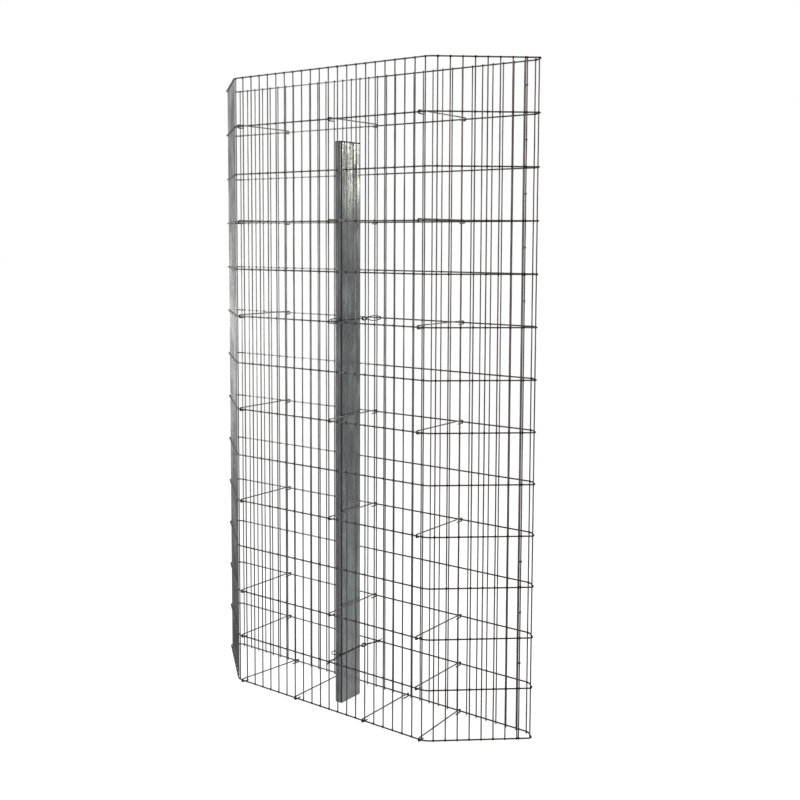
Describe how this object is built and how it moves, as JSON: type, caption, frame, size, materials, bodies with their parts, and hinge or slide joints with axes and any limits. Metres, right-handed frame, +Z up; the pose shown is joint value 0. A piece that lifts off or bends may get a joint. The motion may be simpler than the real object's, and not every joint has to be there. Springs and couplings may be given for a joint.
{
  "type": "gabion wall cage",
  "caption": "Empty gabion wall cage: welded wire mesh folded to a trapezoid basket, held by hooked wire spacers, with a capped galvanised post tied inside.",
  "frame": {"origin": "on the ground, in the middle of the cage's bounding box", "axes": "+X along the wall to the right seen from the short front side, +Y from the front to the long back side, +Z up"},
  "size_m": [1.222, 0.245, 1.9602],
  "materials": {
    "mesh_wire": "dull zinc-coated drawn wire",
    "spacer_wire": "dull zinc-coated drawn wire",
    "tie_wire": "dull zinc-coated soft wire",
    "post_zinc": "hot-dip galvanised, spangled and weathered",
    "cap_plastic": "black moulded plastic"
  },
  "bodies": {
    "root": {"right_back_corner": "mesh_wire", "back_mesh_right": "mesh_wire", "back_mesh_left": "mesh_wire", "left_back_corner": "mesh_wire", "left_end_mesh": "mesh_wire", "left_front_fold": "mesh_wire", "front_mesh": "mesh_wire", "right_front_fold": "mesh_wire", "right_end_mesh": "mesh_wire", "post": "post_zinc", "post_cap": "cap_plastic", "post_tie_upper": "tie_wire", "post_tie_lower": "tie_wire", "seam_tie_space_1": "tie_wire", "seam_tie_space_2": "tie_wire", "seam_tie_space_3": "tie_wire", "seam_tie_space_4": "tie_wire", "seam_tie_space_5": "tie_wire", "seam_tie_space_10": "tie_wire", "seam_tie_space_11": "tie_wire", "seam_tie_space_12": "tie_wire", "spacer_left_row_1": "spacer_wire", "spacer_left_row_3": "spacer_wire", "spacer_left_row_5": "spacer_wire", "spacer_left_row_7": "spacer_wire", "spacer_left_row_9": "spacer_wire", "spacer_left_row_11": "spacer_wire", "spacer_left_row_12": "spacer_wire", "spacer_middle_row_1": "spacer_wire", "spacer_middle_row_3": "spacer_wire", "spacer_middle_row_7": "spacer_wire", "spacer_middle_row_9": "spacer_wire", "spacer_middle_row_11": "spacer_wire", "spacer_right_row_1": "spacer_wire", "spacer_right_row_3": "spacer_wire", "spacer_right_row_5": "spacer_wire", "spacer_right_row_7": "spacer_wire", "spacer_right_row_9": "spacer_wire", "spacer_right_row_11": "spacer_wire", "spacer_right_row_12": "spacer_wire", "spacer_left_row_13": "spacer_wire", "spacer_middle_left_row_13": "spacer_wire", "spacer_middle_right_row_13": "spacer_wire", "spacer_right_row_13": "spacer_wire"}
  },
  "joints": []
}
